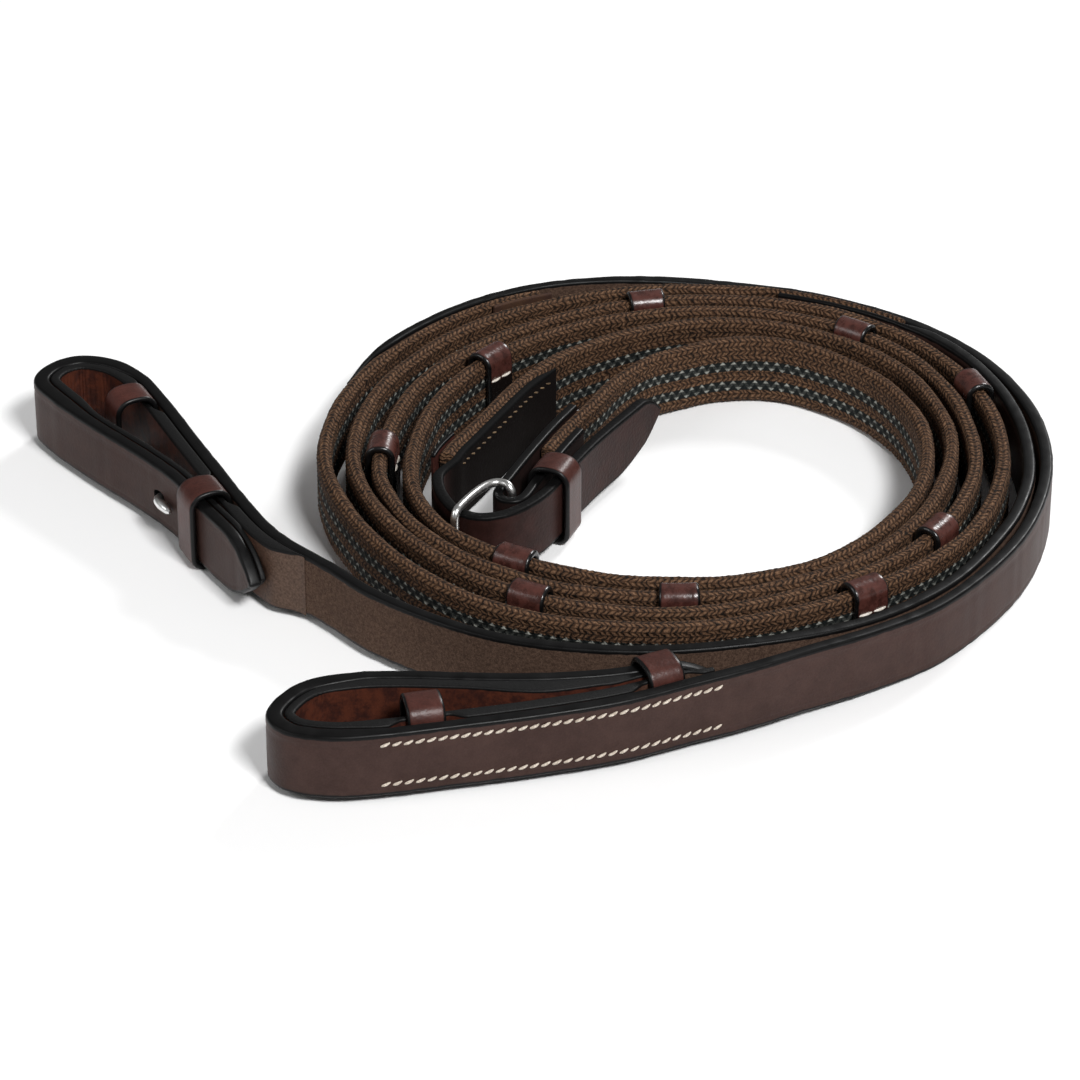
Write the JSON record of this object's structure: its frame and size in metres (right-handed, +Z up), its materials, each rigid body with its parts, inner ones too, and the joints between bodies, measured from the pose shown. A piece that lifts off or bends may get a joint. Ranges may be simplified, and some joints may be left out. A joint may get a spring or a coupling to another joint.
{
  "type": "leather reins",
  "caption": "Coiled riding reins on edge: woven web grips with leather stops, a centre buckle, and hook-stud leather bit ends with keepers.",
  "frame": {"origin": "centre of the whole part's bounding box, on the ground plane it rests on", "axes": "+Z up; +Y away from the side of the front bit end; +X towards the far side of the coil from the left bit end"},
  "size_m": [0.2418, 0.2044, 0.02],
  "materials": {
    "web_a": "woven brown cotton web with two dark zigzag rows on each face",
    "web_b": "woven brown cotton web with two dark zigzag rows on each face",
    "strap_a": "dark brown bridle leather, smooth grain outside the bit loop, black burnished edges",
    "strap_b": "dark brown bridle leather, smooth grain outside, black burnished edges",
    "bit_lining_a": "warm red-brown lining leather",
    "bit_keeper_empty_a": "red-brown leather loop",
    "bit_keeper_filled_a": "red-brown leather loop",
    "hook_stud_a": "bright nickel plate",
    "bit_lining_b": "warm red-brown lining leather",
    "bit_keeper_empty_b": "red-brown leather loop",
    "bit_keeper_filled_b": "red-brown leather loop",
    "hook_stud_b": "bright nickel plate",
    "buckle_chape": "dark brown leather, black burnished edges",
    "centre_keeper": "red-brown leather loop",
    "centre_billet": "dark brown leather, black burnished edges",
    "web_end_facing_b": "dark red-brown leather",
    "web_start_facing_b": "dark red-brown leather",
    "buckle_frame": "bright nickel plate",
    "buckle_tongue": "bright nickel plate",
    "rein_stop_a1": "red-brown leather, glossy",
    "rein_stop_a2": "red-brown leather, glossy",
    "rein_stop_a3": "red-brown leather, glossy",
    "rein_stop_a4": "red-brown leather, glossy",
    "rein_stop_a5": "red-brown leather, glossy",
    "rein_stop_b1": "red-brown leather, glossy",
    "rein_stop_b2": "red-brown leather, glossy",
    "rein_stop_b3": "red-brown leather, glossy",
    "rein_stop_b4": "red-brown leather, glossy",
    "rein_stop_b5": "red-brown leather, glossy"
  },
  "bodies": {
    "reins": {"web_a": "web_a", "web_b": "web_b", "strap_a": "strap_a", "strap_b": "strap_b", "bit_lining_a": "bit_lining_a", "bit_keeper_empty_a": "bit_keeper_empty_a", "bit_keeper_filled_a": "bit_keeper_filled_a", "hook_stud_a": "hook_stud_a", "bit_lining_b": "bit_lining_b", "bit_keeper_empty_b": "bit_keeper_empty_b", "bit_keeper_filled_b": "bit_keeper_filled_b", "hook_stud_b": "hook_stud_b", "buckle_chape": "buckle_chape", "centre_keeper": "centre_keeper", "centre_billet": "centre_billet", "web_end_facing_b": "web_end_facing_b", "web_start_facing_b": "web_start_facing_b", "rein_stop_a1": "rein_stop_a1", "rein_stop_a2": "rein_stop_a2", "rein_stop_a3": "rein_stop_a3", "rein_stop_a4": "rein_stop_a4", "rein_stop_a5": "rein_stop_a5", "rein_stop_b1": "rein_stop_b1", "rein_stop_b2": "rein_stop_b2", "rein_stop_b3": "rein_stop_b3", "rein_stop_b4": "rein_stop_b4", "rein_stop_b5": "rein_stop_b5"},
    "buckle_frame": {"buckle_frame": "buckle_frame"},
    "buckle_tongue": {"buckle_tongue": "buckle_tongue"}
  },
  "joints": [
    {"name": "buckle_frame_turn", "type": "hinge", "parent": "reins", "child": "buckle_frame", "pos_m": [-0.00591, -0.00164, 0.0097], "axis": [0, 0, 1], "range_deg": [-2, 2]},
    {"name": "buckle_tongue_turn", "type": "hinge", "parent": "reins", "child": "buckle_tongue", "pos_m": [-0.00591, -0.00164, 0.0097], "axis": [0, 0, 1], "range_deg": [-2, 2]}
  ]
}
